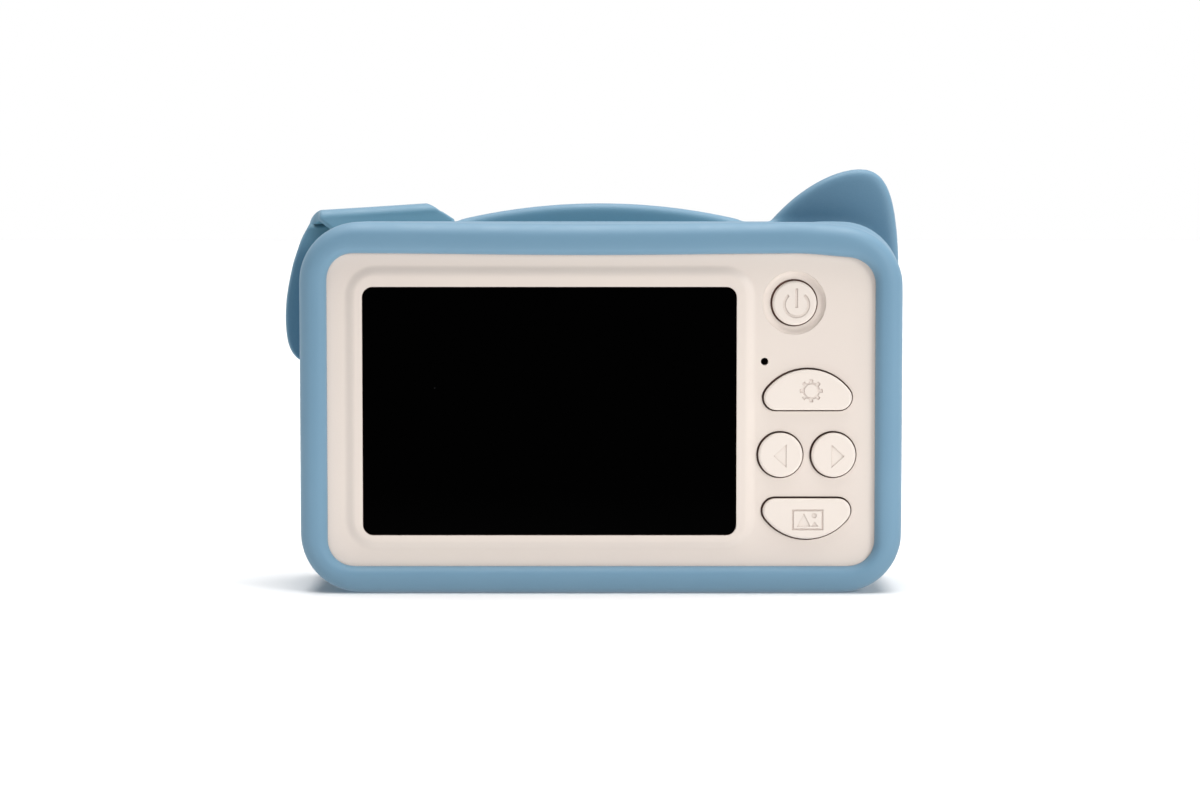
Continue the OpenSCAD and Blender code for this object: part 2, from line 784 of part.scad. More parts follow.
module speaker_gasket() {
    color(black) difference() {
        at_speaker(speaker_x[1] + 0.01) cylinder(r = 7.3, h = 0.2);
        at_speaker(speaker_x[1] - 1) cylinder(r = 6.2, h = 3);
    }
}

module speaker_leads() {
    x = speaker_x[0];
    color([0.2, 0.2, 0.22]) for (d = [0, 1.6])
        wire([[x - 0.5, -2 - d, 36], [x - 2, -2 - d, 38], [x - 3, -6.7, 39 + d]], 0.4);
}

// ---- Ports ----

module at_usb(x) on_side() translate([usb_at.x, usb_at.y, x]) rotate(90) children();

module usb_shell() {
    x0 = -side_x + 0.4;
    sheet = 0.3;
    color(metal) difference() {
        at_usb(x0) stadium(usb_size.x, usb_size.y, usb_length);
        at_usb(x0 - 1) stadium(usb_size.x - 2 * sheet, usb_size.y - 2 * sheet, usb_length + 2 * sheet);
    }
}

module usb_tongue() {
    x0 = -side_x + 1.4;
    color(black) {
        block([x0, usb_at.x - 0.35, usb_at.y - 3.3], [x0 + 5.5, usb_at.x + 0.35, usb_at.y + 3.3]);
        block([x0 + 4.4, usb_at.x - 1.15, usb_at.y - 3.3], [x0 + 5.8, usb_at.x + 1.15, usb_at.y + 3.3]);
    }
}

module card_slot() {
    low = [-side_x + wall + 0.1, -board_b[0], card_at.y - card_cage_size.z / 2];
    room = [0.6, 5.7];                    // half thickness and half width left for the card
    color(metal) difference() {
        block(low, low + card_cage_size);
        block([low.x - 1, card_at.x - room[0], card_at.y - room[1]],
              [low.x + card_cage_size.x - 0.5, card_at.x + room[0], card_at.y + room[1]]);
    }
}

module memory_card() {
    x0 = -side_x - 0.6;
    low = [x0, card_at.x - card_size.y / 2, card_at.y - card_size.z / 2];
    color(black) difference() {
        union() {
            block(low, low + card_size);
            block(low + [0, card_size.y - 0.01, 0], low + [1.1, card_size.y + 0.18, card_size.z]);
        }
        translate(low + [9.5, -1, card_size.z - 1.2]) cube([10, 4, 2]);
        translate(low + [7.2, -1, card_size.z - 0.8]) cube([1, 4, 2]);
    }
}

// ---- Camera unit ----

module sensor_board() {
    color(board_green) difference() {
        block([-11, 2, lens_z - 7], [11, 2.8, lens_z + 7]);
        for (s = camera_posts) bar(s, 0.8, -4, -1);
    }
}

module image_sensor() color([0.25, 0.3, 0.45]) block([-3.5, 2.8, lens_z - 3.5], [3.5, 3.7, lens_z + 3.5]);

module lens_holder() {
    color(black) difference() {
        union() {
            block([-6, 2.82, lens_z - 6], [6, 5.4, lens_z + 6]);
            bar([0, lens_z], 4.9, -8.8, -5.3);
        }
        block([-3.8, 2, lens_z - 3.8], [3.8, 4.4, lens_z + 3.8]);
        bar([0, lens_z], 4.15, -9, -4.3);
    }
}

module lens_barrel() {
    color(black) difference() {
        bar([0, lens_z], 4.1, -13, -4.6);
        bar([0, lens_z], glass_r + 0.05, -12.2, -4);
        on_back() translate([0, lens_z, -13.1]) cylinder(r1 = glass_r, r2 = 2.7, h = 1.2);
    }
}

// Three glass discs, the first one domed.
module lens_elements() {
    front = arc([0, 0], [2.6, 0.7], 0, 90, 10);
    color([0.5, 0.6, 0.75, 0.5]) {
        bar([0, lens_z], glass_r, -6.6, -5.2);
        bar([0, lens_z], glass_r, -9.4, -8.2);
        on_back() translate([0, lens_z, -12.15]) mirror([0, 0, 1]) rotate_extrude()
            polygon(concat([[0, -1.2], [glass_r, -1.2], [glass_r, 0]], front));
    }
}

module camera_screws() {
    color(metal) for (s = camera_posts) mirror([0, 1, 0]) screw(s, 1.1, 6.4, 0.7, 1.5, 0.9);
}

module camera_ribbon() {
    path = [[1.85, lens_z + 5], [1.2, lens_z + 5], [1.2, 51.4], [-6.1, 51.4]];
    color(ribbon_gold) ribbon(path, -4, 8, 0.2);
}

module lens_baffle() {
    color(black) difference() {
        bar([0, lens_z], lens_r - 2.1, -window_y, -front_y - eps);
        on_back() translate([0, lens_z, -window_y - 0.01]) cylinder(r1 = 8.6, r2 = 4.3, h = 4);
        bar([0, lens_z], 4.3, -window_y - 1, -front_y + 1);
        bar(flash_at, 2, -window_y - 1, -front_y + 1);
    }
}

module lens_window() {
    color([0.08, 0.09, 0.1, 0.4]) bar([0, lens_z], lens_r - 2.1, -window_y - 1.4, -window_y);
}

module lens_ring() {
    seat = window_y + 1.42;
    profile = concat(
        [[lens_r - 3.4, seat], [lens_r - 2.1, seat], [lens_r - 2.1, boss_y + 0.02], [lens_r, boss_y + 0.02]],
        arc([lens_r - 0.8, 18.2], [0.8, 0.8], 0, 90, 8),
        arc([lens_r - 2.6, 18.6], [0.4, 0.4], 90, 180, 4)
    );
    color(shell) translate([0, 0, lens_z]) rotate([-90, 0, 0]) rotate_extrude() polygon(profile);
}

module flash_led() {
    half = 1.7;
    color([0.95, 0.9, 0.55])
        block([flash_at.x - half, 9.9, flash_at.y - half], [flash_at.x + half, 11.3, flash_at.y + half]);
}

module flash_lens() color([0.95, 0.95, 0.9, 0.6]) bar(flash_at, 1.9, -window_y + 0.1, -front_y - 0.1);

// ---- Nodes ----

silicone_sleeve();
ear_flap();
face_inlays();
rear_cover();
front_cover();
cover_screws();
screen_window();
window_adhesive();
lcd_panel();
lcd_backlight();
lcd_frame();
lcd_ribbon();
power_button();
menu_button();
previous_button();
next_button();
album_button();
key_plunger(power_at);  // power_plunger
key_plunger(menu_switch_at);  // menu_plunger
key_plunger(previous_at);  // previous_plunger
key_plunger(next_at);  // next_plunger
key_plunger(album_switch_at);  // album_plunger
key_switches();
shutter_button();
shutter_spring();
shutter_plunger();
shutter_switch();
shutter_board();
main_board();
processor_chip();
memory_chip();
board_components();
board_screws();
battery_cell();
battery_lead_red();
battery_lead_black();
microphone();
microphone_boot();
speaker_frame();
speaker_magnet();
speaker_gasket();
speaker_leads();
usb_shell();
usb_tongue();
card_slot();
memory_card();
strap_bar();
sensor_board();
image_sensor();
lens_holder();
lens_barrel();
lens_elements();
camera_screws();
camera_ribbon();
lens_baffle();
lens_window();
lens_ring();
flash_led();
flash_lens();
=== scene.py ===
"""Looks for the children's digital camera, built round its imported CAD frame."""

import json
import math

import bmesh
import bpy
from mathutils import Matrix, Vector


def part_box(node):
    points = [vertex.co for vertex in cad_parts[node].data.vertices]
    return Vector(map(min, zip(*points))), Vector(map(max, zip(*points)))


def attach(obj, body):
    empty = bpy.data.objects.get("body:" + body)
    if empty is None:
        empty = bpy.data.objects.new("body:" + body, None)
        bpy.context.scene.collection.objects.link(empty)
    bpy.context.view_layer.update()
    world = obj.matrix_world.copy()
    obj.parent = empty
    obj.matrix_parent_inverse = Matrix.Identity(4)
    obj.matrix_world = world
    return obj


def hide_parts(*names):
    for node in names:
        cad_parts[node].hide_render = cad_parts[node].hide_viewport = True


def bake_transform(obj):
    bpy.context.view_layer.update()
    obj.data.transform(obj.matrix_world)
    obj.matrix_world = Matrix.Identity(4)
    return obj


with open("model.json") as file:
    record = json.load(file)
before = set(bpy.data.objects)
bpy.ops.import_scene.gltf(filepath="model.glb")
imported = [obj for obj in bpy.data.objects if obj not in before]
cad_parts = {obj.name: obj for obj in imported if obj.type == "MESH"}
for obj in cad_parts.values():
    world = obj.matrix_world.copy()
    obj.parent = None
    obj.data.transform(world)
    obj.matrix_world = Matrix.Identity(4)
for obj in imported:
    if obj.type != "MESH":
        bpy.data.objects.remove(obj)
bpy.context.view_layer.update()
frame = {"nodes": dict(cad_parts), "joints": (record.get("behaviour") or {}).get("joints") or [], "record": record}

MM = 0.001
scene = bpy.context.scene


def node_box(name):
    """Lowest and highest corner of a CAD node, in millimetres."""
    low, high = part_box(name)
    return low / MM, high / MM


# ---------------------------------------------------------------- sizes taken from the frame

sleeve_low, sleeve_high = node_box("silicone_sleeve")
cover_low = node_box("rear_cover")[0]
front_low, front_high = node_box("front_cover")
ring_low, ring_high = node_box("lens_ring")
shutter_low, shutter_high = node_box("shutter_button")
joints = {j["name"]: j for j in frame["joints"]}

WIDTH = -2 * sleeve_low.x
HEIGHT = shutter_high.z + 0.3  # the shutter button ends this far below the sleeve's top
CORNER = 10.0
FACE_Y = 14.0
RIM_Y = sleeve_low.y
EAR_TOP = sleeve_high.z
PAD_RISE = 0.6  # height of the raised pad round the screen
COVER_Y = cover_low.y + PAD_RISE
BODY_HALF = (front_high.x, (front_high.z - front_low.z) / 2)
BODY_MID_Z = (front_high.z + front_low.z) / 2
LENS_Z = (ring_low.z + ring_high.z) / 2
LENS_R = (ring_high.x - ring_low.x) / 2
SHUTTER_X = (shutter_low.x + shutter_high.x) / 2
SHUTTER_Y = (shutter_low.y + shutter_high.y) / 2

# ---------------------------------------------------------------- sizes of the sleeve, in millimetres

FACE_ROUND = 3.0  # rounding of the outer edge at the front
RIM_ROUND = 2.7  # and at the back
FACE_WALL = 2.45
EMBED = 0.12  # the inside sits this deep in the casing, so that no light shows between them
LIP_ROOT = 0.9  # the lip goes on into the cover, so that its smoothed edge stays out of sight
LIP_ROUND = 1.7
LIP_Y = -13.3  # where the lip starts to turn outwards
LIP_HALF = (45.7, 26.15)
LIP_MID_Z = 30.7
LIP_CORNER = 4.3
CASING_CORNER = 7.6
EAR_Y = (10.4, 13.9)
DOME_Y = (10.2, 13.8)
DOME_RADIUS = 107.0
DOME_HALF = 25.4
DOME_RISE = 3.15
MIDDLE_SAG = 0.35  # how far the rim's top sags in its middle, and at its right end
RIGHT_SAG = 0.85
SAG_BEHIND = (7.5, 12.5)  # the sag fades in over these depths behind the middle,
SAG_BELOW_TOP = (24, 4)  # over these depths below the top,
SAG_MIDDLE = (-2, 26)  # round this x and over about this width,
SAG_RIGHT = (32, 45)  # and over these x at the right
GROOVE_LOW = (-26, 6.2, HEIGHT - 1.3)  # the channel that runs behind the dome and the ear
GROOVE_HIGH = (53, 10.15, HEIGHT + 2)
LENS_GAP = 0.25
LENS_FLARE = 1.1
OPENING_DEPTH = 5.0
OPENING_FLARE = 0.9
PORTS_HALF = (13.8, 4)  # half height and half depth of the opening over the ports
PORTS_AT = (-5.9, 24.2)  # y and z of its middle
SPEAKER_R = 5.6
SPEAKER_AT = (1, 30)
STRAP_HALF = (4.7, 4)
STRAP_AT = (0, 16.5)
VOXEL = 0.38
SMOOTHING = 12

# ---------------------------------------------------------------- curves


def curve(points, n=12):
    """Points on a cubic curve through the first and last of four points."""
    out = []
    for i in range(n + 1):
        t = i / n
        s = 1 - t
        w = (s**3, 3 * s * s * t, 3 * s * t * t, t**3)
        out.append(tuple(sum(k * p[a] for k, p in zip(w, points)) for a in range(2)))
    return out


def join_curves(*parts):
    """One outline from several lists of points, without the repeated end points."""
    out = []
    for part in parts:
        for p in part:
            if not out or math.dist(out[-1], p) > 1e-4:
                out.append(p)
    return out


def rounded_rect(half_w, half_h, r, n=16):
    """Outline of a rounded rectangle round the origin, anticlockwise."""
    out = []
    for cx, cy, a0 in ((1, 1, 0), (-1, 1, 90), (-1, -1, 180), (1, -1, 270)):
        for i in range(n + 1):
            a = math.radians(a0 + 90 * i / n)
            out.append((cx * (half_w - r) + r * math.cos(a), cy * (half_h - r) + r * math.sin(a)))
    return out


# ---------------------------------------------------------------- meshes, made in millimetres


def mesh_object(name, verts, faces):
    """A new object of the scene, from corners and faces."""
    mesh = bpy.data.meshes.new(name)
    mesh.from_pydata(verts, [], faces)
    mesh.update()
    obj = bpy.data.objects.new(name, mesh)
    scene.collection.objects.link(obj)
    return obj


def loft(name, rings):
    """A closed solid through rings of the same number of points."""
    n = len(rings[0])
    verts = [v for ring in rings for v in ring]
    faces = []
    for i in range(len(rings) - 1):
        for j in range(n):
            k = (j + 1) % n
            faces.append((i * n + j, i * n + k, (i + 1) * n + k, (i + 1) * n + j))
    faces.append(tuple(reversed(range(n))))
    faces.append(tuple(range((len(rings) - 1) * n, len(rings) * n)))
    obj = mesh_object(name, verts, faces)
    bm = bmesh.new()
    bm.from_mesh(obj.data)
    bmesh.ops.recalc_face_normals(bm, faces=bm.faces)
    bm.to_mesh(obj.data)
    bm.free()
    return obj


def slab(name, half_w, half_h, r, mid, profile):
    """A rounded rectangle seen from the back, with (outset, y) steps along its depth."""
    rings = []
    for outset, y in profile:
        ring = rounded_rect(half_w + outset, half_h + outset, max(r + outset, 0.05))
        rings.append([(mid[0] + x, y, mid[1] + z) for x, z in ring])
    return loft(name, rings)


def round_profile(y0, y1, r0, r1, n=8):
    """(outset, y) steps from y0 to y1 with rounded ends of radius r0 and r1."""
    s = 1 if y1 > y0 else -1
    steps = []
    for i in range(n + 1):
        a = math.radians(90 * i / n)
        steps.append((-r0 * (1 - math.sin(a)), y0 + s * r0 * (1 - math.cos(a))))
    for i in range(n + 1):
        a = math.radians(90 * i / n)
        steps.append((-r1 * (1 - math.cos(a)), y1 - s * r1 * (1 - math.sin(a))))
    return steps


def box(name, low, high):
    """A plain box between two corners."""
    corners = [(low[0], low[2]), (high[0], low[2]), (high[0], high[2]), (low[0], high[2])]
    return loft(name, [[(x, y, z) for x, z in corners] for y in (low[1], high[1])])


def plate(name, outline, y0, y1, bevel):
    """An outline in X and Z, given depth from y0 to y1, with rounded edges."""
    obj = loft(name, [[(x, y, z) for x, z in outline] for y in (y0, y1)])
    round_edges(obj, bevel)
    return obj


def round_edges(obj, width, segments=3, angle=40):
    """Rounds the edges that are sharper than angle degrees."""
    mod = obj.modifiers.new("round", "BEVEL")
    mod.width = width
    mod.segments = segments
    mod.limit_method = "ANGLE"
    mod.angle_limit = math.radians(angle)
    apply_modifiers(obj)


def turned(name, profile, centre, axis, n=48):
    """A solid of revolution: (radius, height) steps along an axis through centre."""
    z = Vector(axis).normalized()
    x = z.orthogonal().normalized()
    y = z.cross(x)
    rings = []
    for r, h in profile:
        ring = []
        for j in range(n):
            a = 2 * math.pi * j / n
            spoke = x * math.cos(a) + y * math.sin(a)
            ring.append(tuple(Vector(centre) + z * h + spoke * max(r, 0.01)))
        rings.append(ring)
    return loft(name, rings)


def stadium_ring(half_long, half_short, n=12):
    """A stadium outline: its long side along the first direction."""
    out = []
    a = half_long - half_short
    for side, start in ((1, -90), (-1, 90)):
        for i in range(n + 1):
            t = math.radians(start + 180 * i / n)
            out.append((side * a + half_short * math.cos(t), half_short * math.sin(t)))
    return out


def apply_modifiers(obj):
    """Replaces the object's mesh by what its modifiers make of it."""
    bpy.context.view_layer.update()
    graph = bpy.context.evaluated_depsgraph_get()
    mesh = bpy.data.meshes.new_from_object(obj.evaluated_get(graph))
    old = obj.data
    obj.modifiers.clear()
    obj.data = mesh
    mesh.name = obj.name
    bpy.data.meshes.remove(old)


def combine(obj, other, operation):
    """Adds or cuts another solid, which is used up."""
    mod = obj.modifiers.new("combine", "BOOLEAN")
    mod.operation = operation
    mod.object = other
    mod.solver = "EXACT"
    apply_modifiers(obj)
    bpy.data.objects.remove(other)


def soften(obj, voxel, passes, factor=0.5):
    """Remeshes evenly and smooths, the way moulded silicone has no sharp corner."""
    mod = obj.modifiers.new("remesh", "REMESH")
    mod.mode = "VOXEL"
    mod.voxel_size = voxel
    mod.use_smooth_shade = True
    smooth = obj.modifiers.new("smooth", "SMOOTH")
    smooth.factor = factor
    smooth.iterations = passes
    apply_modifiers(obj)


def finish_piece(obj, material, body):
    """Goes from millimetres to metres and joins the model."""
    obj.data.transform(Matrix.Scale(MM, 4))
    obj.data.update()
    obj.data.materials.clear()
    obj.data.materials.append(material)
    for p in obj.data.polygons:
        p.use_smooth = True
    if body:
        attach(obj, body)
    return obj


# ---------------------------------------------------------------- the sleeve


def cut_flared(sleeve, outline, side, middle):
    """Cuts an opening through a side wall, with a softly rounded outer edge.

    outline(grow) gives points across and up, side is -1 for the left wall and 1 for the right one, and
    middle is the opening's y and z."""

    def on_wall(grow, out):
        return [(side * (WIDTH / 2 + out), middle[0] + y, middle[1] + z) for y, z in outline(grow)]

    steps = 6
    rings = [on_wall(0, -OPENING_DEPTH)]
    for i in range(steps + 1):
        t = math.radians(90 * i / steps)
        rings.append(on_wall(OPENING_FLARE * (1 - math.cos(t)), OPENING_FLARE * (math.sin(t) - 1)))
    rings.append(on_wall(OPENING_FLARE, 2))
    combine(sleeve, loft("cutter", rings), "DIFFERENCE")


def circle_ring(r, n=40):
    """Outline of a circle."""
    return [(r * math.cos(2 * math.pi * i / n), r * math.sin(2 * math.pi * i / n)) for i in range(n)]


def ear_outline():
    """The upright ear, seen from the back: its tip leans right and its root is inside the sleeve."""
    return join_curves(
        curve([(28.2, 60.4), (33, 66.8), (40, EAR_TOP), (45.3, EAR_TOP)]),
        curve([(45.3, EAR_TOP), (50.3, EAR_TOP), (51.4, 65.8), (52, 57)]),
        curve([(52, 57), (52.3, 50), (51.6, 43), (49.4, 36)], 8),
        [(44, 36), (44, 55), (30, 55)],
    )


def ear_hollow():
    """The shallow inside of the upright ear, cut into its front."""
    outline = join_curves(
        curve([(35.5, 61), (38.5, 66), (42, 68.3), (45, 68.2)]),
        curve([(45, 68.2), (48, 68.2), (48.8, 62), (48.6, 56)]),
        curve([(48.6, 56), (48, 51.5), (41, 54.5), (35.5, 61)]),
    )
    return turned_plate("hollow", outline[:-1], 12.9, 15.0)


def turned_plate(name, outline, y0, y1):
    """A cutter whose floor at y0 is smaller than its mouth at y1."""
    cx = sum(x for x, z in outline) / len(outline)
    cz = sum(z for x, z in outline) / len(outline)
    rings = []
    for share, y in ((0.8, y0), (1.0, (y0 + y1) / 2), (1.0, y1)):
        rings.append([(cx + (x - cx) * share, y, cz + (z - cz) * share) for x, z in outline])
    return loft(name, rings)


def dome_outline(n=40):
    """The top of the head between the ears: part of a large circle."""
    cx = -0.2
    top = HEIGHT + DOME_RISE
    root = 55
    out = []
    for i in range(n + 1):
        x = cx + DOME_HALF - 2 * DOME_HALF * i / n
        out.append((x, top - DOME_RADIUS + math.sqrt(DOME_RADIUS**2 - (x - cx) ** 2)))
    return out + [(cx - DOME_HALF, root), (cx + DOME_HALF, root)]


def sleeve_body():
    """The outside: a rounded block with the upright ear and the dome, and the groove behind them."""
    profile = round_profile(FACE_Y, RIM_Y, FACE_ROUND, RIM_ROUND)
    body = slab("silicone_sleeve", WIDTH / 2, HEIGHT / 2, CORNER, (0, HEIGHT / 2), profile)
    combine(body, plate("ear", ear_outline(), *EAR_Y, 1.3), "UNION")
    combine(body, plate("dome", dome_outline(), *DOME_Y, 1.7), "UNION")
    combine(body, ear_hollow(), "DIFFERENCE")
    combine(body, box("groove", GROOVE_LOW, GROOVE_HIGH), "DIFFERENCE")
    return body


def cut_casing(sleeve):
    """Makes room for the casing, and rounds the lip round the back opening."""
    depth = [(0, FACE_Y - FACE_WALL - EMBED), (0, COVER_Y + LIP_ROOT)]
    half_w, half_h = BODY_HALF[0] - EMBED, BODY_HALF[1] - EMBED
    combine(sleeve, slab("inside", half_w, half_h, CASING_CORNER, (0, BODY_MID_Z), depth), "DIFFERENCE")
    flare = [(0, LIP_Y + 2.3)]
    steps = 8
    for i in range(steps + 1):
        a = math.radians(90 * i / steps)
        flare.append((LIP_ROUND * (1 - math.cos(a)), LIP_Y - LIP_ROUND * math.sin(a)))
    flare.append((LIP_ROUND, RIM_Y - 2))
    combine(sleeve, slab("flare", *LIP_HALF, LIP_CORNER, (0, LIP_MID_Z), flare), "DIFFERENCE")


def cut_lens(sleeve):
    """The hole round the lens, with a rounded front edge."""
    hole = LENS_R + LENS_GAP
    edge_y = FACE_Y - LENS_FLARE
    profile = [(hole, 8), (hole, edge_y)]
    for t in (0.4, 0.8, 1.2, 1.57):
        profile.append((hole + LENS_FLARE * (1 - math.cos(t)), edge_y + LENS_FLARE * math.sin(t)))
    profile.append((hole + LENS_FLARE, 18))
    combine(sleeve, turned("lens", profile, (0, 0, LENS_Z), (0, 1, 0), 72), "DIFFERENCE")


def cut_shutter(sleeve):
    """The hole round the shutter button, in a shallow dish for the fingertip."""
    dish = [(6.2, -6), (6.2, -1.3), (6.6, -1.15), (7.2, -0.8), (7.9, -0.25), (8.6, 0.2), (8.6, 3)]
    combine(sleeve, turned("shutter", dish, (SHUTTER_X, SHUTTER_Y, HEIGHT), (0, 0, 1)), "DIFFERENCE")


def cut_sides(sleeve):
    """The openings over the ports, on the left, and over the speaker and the strap bar, on the right."""

    def upright(half, grow):
        return [(across, up) for up, across in stadium_ring(half[0] + grow, half[1] + grow)]

    cut_flared(sleeve, lambda grow: upright(PORTS_HALF, grow), -1, PORTS_AT)
    cut_flared(sleeve, lambda grow: circle_ring(SPEAKER_R + grow), 1, SPEAKER_AT)
    cut_flared(sleeve, lambda grow: upright(STRAP_HALF, grow), 1, STRAP_AT)


def make_sleeve():
    """The whole sleeve without its folded ear, as one smoothed piece."""
    sleeve = sleeve_body()
    cut_casing(sleeve)
    cut_lens(sleeve)
    cut_shutter(sleeve)
    cut_sides(sleeve)
    soften(sleeve, VOXEL, SMOOTHING)
    settle(sleeve)
    finish_piece(sleeve, materials["silicone"], "camera")
    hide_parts("silicone_sleeve")


def smooth_step(value, low, high):
    """0 below low, 1 above high, and an even rise between them."""
    t = min(max((value - low) / (high - low), 0.0), 1.0)
    return t * t * (3 - 2 * t)


def settle(sleeve):
    """Lets the rim sag a little, the way a soft sleeve sits on its hard camera."""
    for v in sleeve.data.vertices:
        x, y, z = v.co
        near_rim = smooth_step(-y, *SAG_BEHIND)
        upper = smooth_step(z, HEIGHT - SAG_BELOW_TOP[0], HEIGHT - SAG_BELOW_TOP[1])
        in_middle = math.exp(-(((x - SAG_MIDDLE[0]) / SAG_MIDDLE[1]) ** 2))
        at_right = smooth_step(x, *SAG_RIGHT)
        v.co.z -= (MIDDLE_SAG * in_middle + RIGHT_SAG * at_right) * upper * near_rim


# ---------------------------------------------------------------- the folded ear

FLAP_LENGTH = 24.3
FLAP_THICKNESS = 2.1
FLAP_CORNER = 0.6
FOLD_BACK_Y = 12.7  # the sheet's middle where it rises behind the crease
FOLD_FRONT_Y = 16.05  # and where it hangs in front of the face
FOLD_FOOT = -4.8  # heights above the crease: of the hidden foot,
FOLD_SHOULDER = -0.79  # of the sleeve's top,
FOLD_TOP = 0.8  # and of the last straight row before the sheet turns over
FOLD_LEAN = 0.32

# x of the hanging flap's two edges, each with its share of the way from the crease to the tip.
FLAP_LEFT = (
    (-0.02, -51.15),
    (0.0, -51.35),
    (0.05, -52.05),
    (0.1, -52.7),
    (0.2, -53.6),
    (0.3, -54.35),
    (0.5, -55.3),
    (0.65, -55.6),
    (0.8, -55.45),
    (0.9, -54.9),
    (0.97, -53.8),
    (1.0, -52.6),
)
FLAP_RIGHT = (
    (-0.02, -30.1),
    (0.1, -31.2),
    (0.3, -33.8),
    (0.55, -38.2),
    (0.75, -42.6),
    (0.9, -47.0),
    (0.97, -49.9),
    (1.0, -51.4),
)


def interpolate(points, t):
    """A smooth value from (t, value) points."""
    if t <= points[0][0]:
        return points[0][1]
    for i in range(len(points) - 1):
        (t0, v0), (t1, v1) = points[i], points[i + 1]
        if t <= t1:
            before = points[max(i - 1, 0)]
            after = points[min(i + 2, len(points) - 1)]
            m0 = (v1 - before[1]) / (t1 - before[0])
            m1 = (after[1] - v0) / (after[0] - t0)
            h = t1 - t0
            s = (t - t0) / h
            return (
                (2 * s**3 - 3 * s**2 + 1) * v0
                + (s**3 - 2 * s**2 + s) * h * m0
                + (-2 * s**3 + 3 * s**2) * v1
                + (s**3 - s**2) * h * m1
            )
    return points[-1][1]


def ear_rows():
    """Centre lines of the folded sheet, one after another: (y, height above the crease, left x, right x,
    half thickness). It rises out of the sleeve's shoulder, turns over, and hangs down in front."""
    half_t = FLAP_THICKNESS / 2
    return rising_rows(half_t) + turning_rows(half_t) + hanging_rows(half_t)


def rising_rows(half_t, steps=8):
    """The part behind the crease, narrower towards its top."""
    rows = []
    for k in range(steps + 1):
        z = FOLD_FOOT + (FOLD_TOP - FOLD_FOOT) * k / steps
        y = FOLD_BACK_Y - FOLD_LEAN * (FOLD_TOP - z)
        left = -47.5 - 1.233 * (z + 0.66)
        right = -25.4 - 1.4 * max(z - FOLD_SHOULDER, 0)
        rows.append((y, z, left, right, half_t))
    return rows


def turning_rows(half_t, steps=20):
    """The half turn over the crease."""
    rows = []
    reach = (FOLD_FRONT_Y - FOLD_BACK_Y) / 2
    for k in range(1, steps):
        a = math.pi * k / steps
        y = FOLD_BACK_Y + reach - reach * math.cos(a)
        z = FOLD_TOP + 1.05 * math.sin(a) - 0.6 * k / steps
        left = -49.3 - 2.0 * ((1 - math.cos(a)) / 2) ** 2
        right = -27.6 - 2.5 * (math.sin(a) if k < steps / 2 else 1)
        rows.append((y, z, left, right, half_t))
    return rows


def hanging_rows(half_t, steps=40):
    """The flap in front of the face, thinner towards its tip and closer together there."""
    rows = []
    for k in range(steps + 1):
        t = math.sin(math.pi / 2 * k / steps)
        y = FOLD_FRONT_Y - 0.15 * t + 0.5 * t**3
        z = 0.2 - FLAP_LENGTH * t
        rows.append((y, z, interpolate(FLAP_LEFT, t), interpolate(FLAP_RIGHT, t), half_t * (1 - 0.25 * t)))
    return rows


def make_folded_ear():
    """One sheet of silicone: up out of the sleeve, over the crease and down in front of the face."""
    hinge = joints["folded_ear_lift"]
    crease_x, crease_y, crease_z = (v / MM for v in hinge["pos_m"])
    slope = hinge["axis"][2] / hinge["axis"][0]
    rows = ear_rows()
    rings = []
    for i, (y, z, left, right, half_t) in enumerate(rows):
        before, after = rows[max(i - 1, 0)], rows[min(i + 1, len(rows) - 1)]
        along = Vector((0, after[0] - before[0], after[1] - before[1])).normalized()
        normal = Vector((0, -along.z, along.y))
        mid, half = (left + right) / 2, max((right - left) / 2, 0.3)
        fade = max(0.0, 1 + z / 26) if y > crease_y else 1.0
        ring = []
        for u, w in bar_section(half, min(half_t, half), FLAP_CORNER):
            x = mid + u
            lift = crease_z + z + slope * (x - crease_x) * fade
            ring.append(tuple(Vector((x, y, lift)) + normal * w))
        rings.append(ring)
    ear = loft("folded_ear", rings)
    finish_piece(ear, materials["silicone_fold"], None)
    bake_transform(ear)
    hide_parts("ear_flap")


def bar_section(half, h, r, across=24, corner=5):
    """Points round a flat bar of half width and half height, with corners of radius r."""
    r = min(r, half, h)
    out = []
    for sx, sz, start in ((1, -1, -90), (1, 1, 0), (-1, 1, 90), (-1, -1, 180)):
        for i in range(corner + 1):
            a = math.radians(start + 90 * i / corner)
            out.append((sx * (half - r) + r * math.cos(a), sz * (h - r) + r * math.sin(a)))
        if sz == sx:
            flat = half - r
            out += [(sx * flat * (1 - 2 * i / across), sz * h) for i in range(1, across)]
    return out


EYE_R = 2.5
EYE_Z = 41
EYE_RISE = 0.65
NOSE_HALF = (3.8, 2.1)
NOSE_Z = 50.4
NOSE_RISE = 0.8
INLAY_ROOT_Y = FACE_Y - 1.2


def arc_steps(n):
    """Angles from nearly 0 to nearly 90 degrees."""
    return [math.radians(88 * i / n) for i in range(1, n + 1)]


def make_inlays():
    """Two eyes and a nose: glossy domes set into the face."""
    eye_x = node_box("face_inlays")[1].x - EYE_R
    eye = [(EYE_R, INLAY_ROOT_Y)]
    for t in arc_steps(14):
        eye.append((EYE_R * math.cos(t), FACE_Y + 0.1 + EYE_RISE * math.sin(t)))
    nose = [(1.0, INLAY_ROOT_Y), (1.0, FACE_Y)]
    for t in arc_steps(12):
        nose.append((math.cos(t), FACE_Y + NOSE_RISE * math.sin(t)))
    rings = []
    for share, y in nose:
        rings.append([(share * x, y, NOSE_Z + share * z) for x, z in stadium_ring(*NOSE_HALF, 20)])
    face = turned("face_inlays_domed", eye, (-eye_x, 0, EYE_Z), (0, 1, 0))
    combine(face, turned("eye", eye, (eye_x, 0, EYE_Z), (0, 1, 0)), "UNION")
    combine(face, loft("nose", rings), "UNION")
    finish_piece(face, materials["inlay_dark"], "camera")
    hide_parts("face_inlays")


# ---------------------------------------------------------------- materials


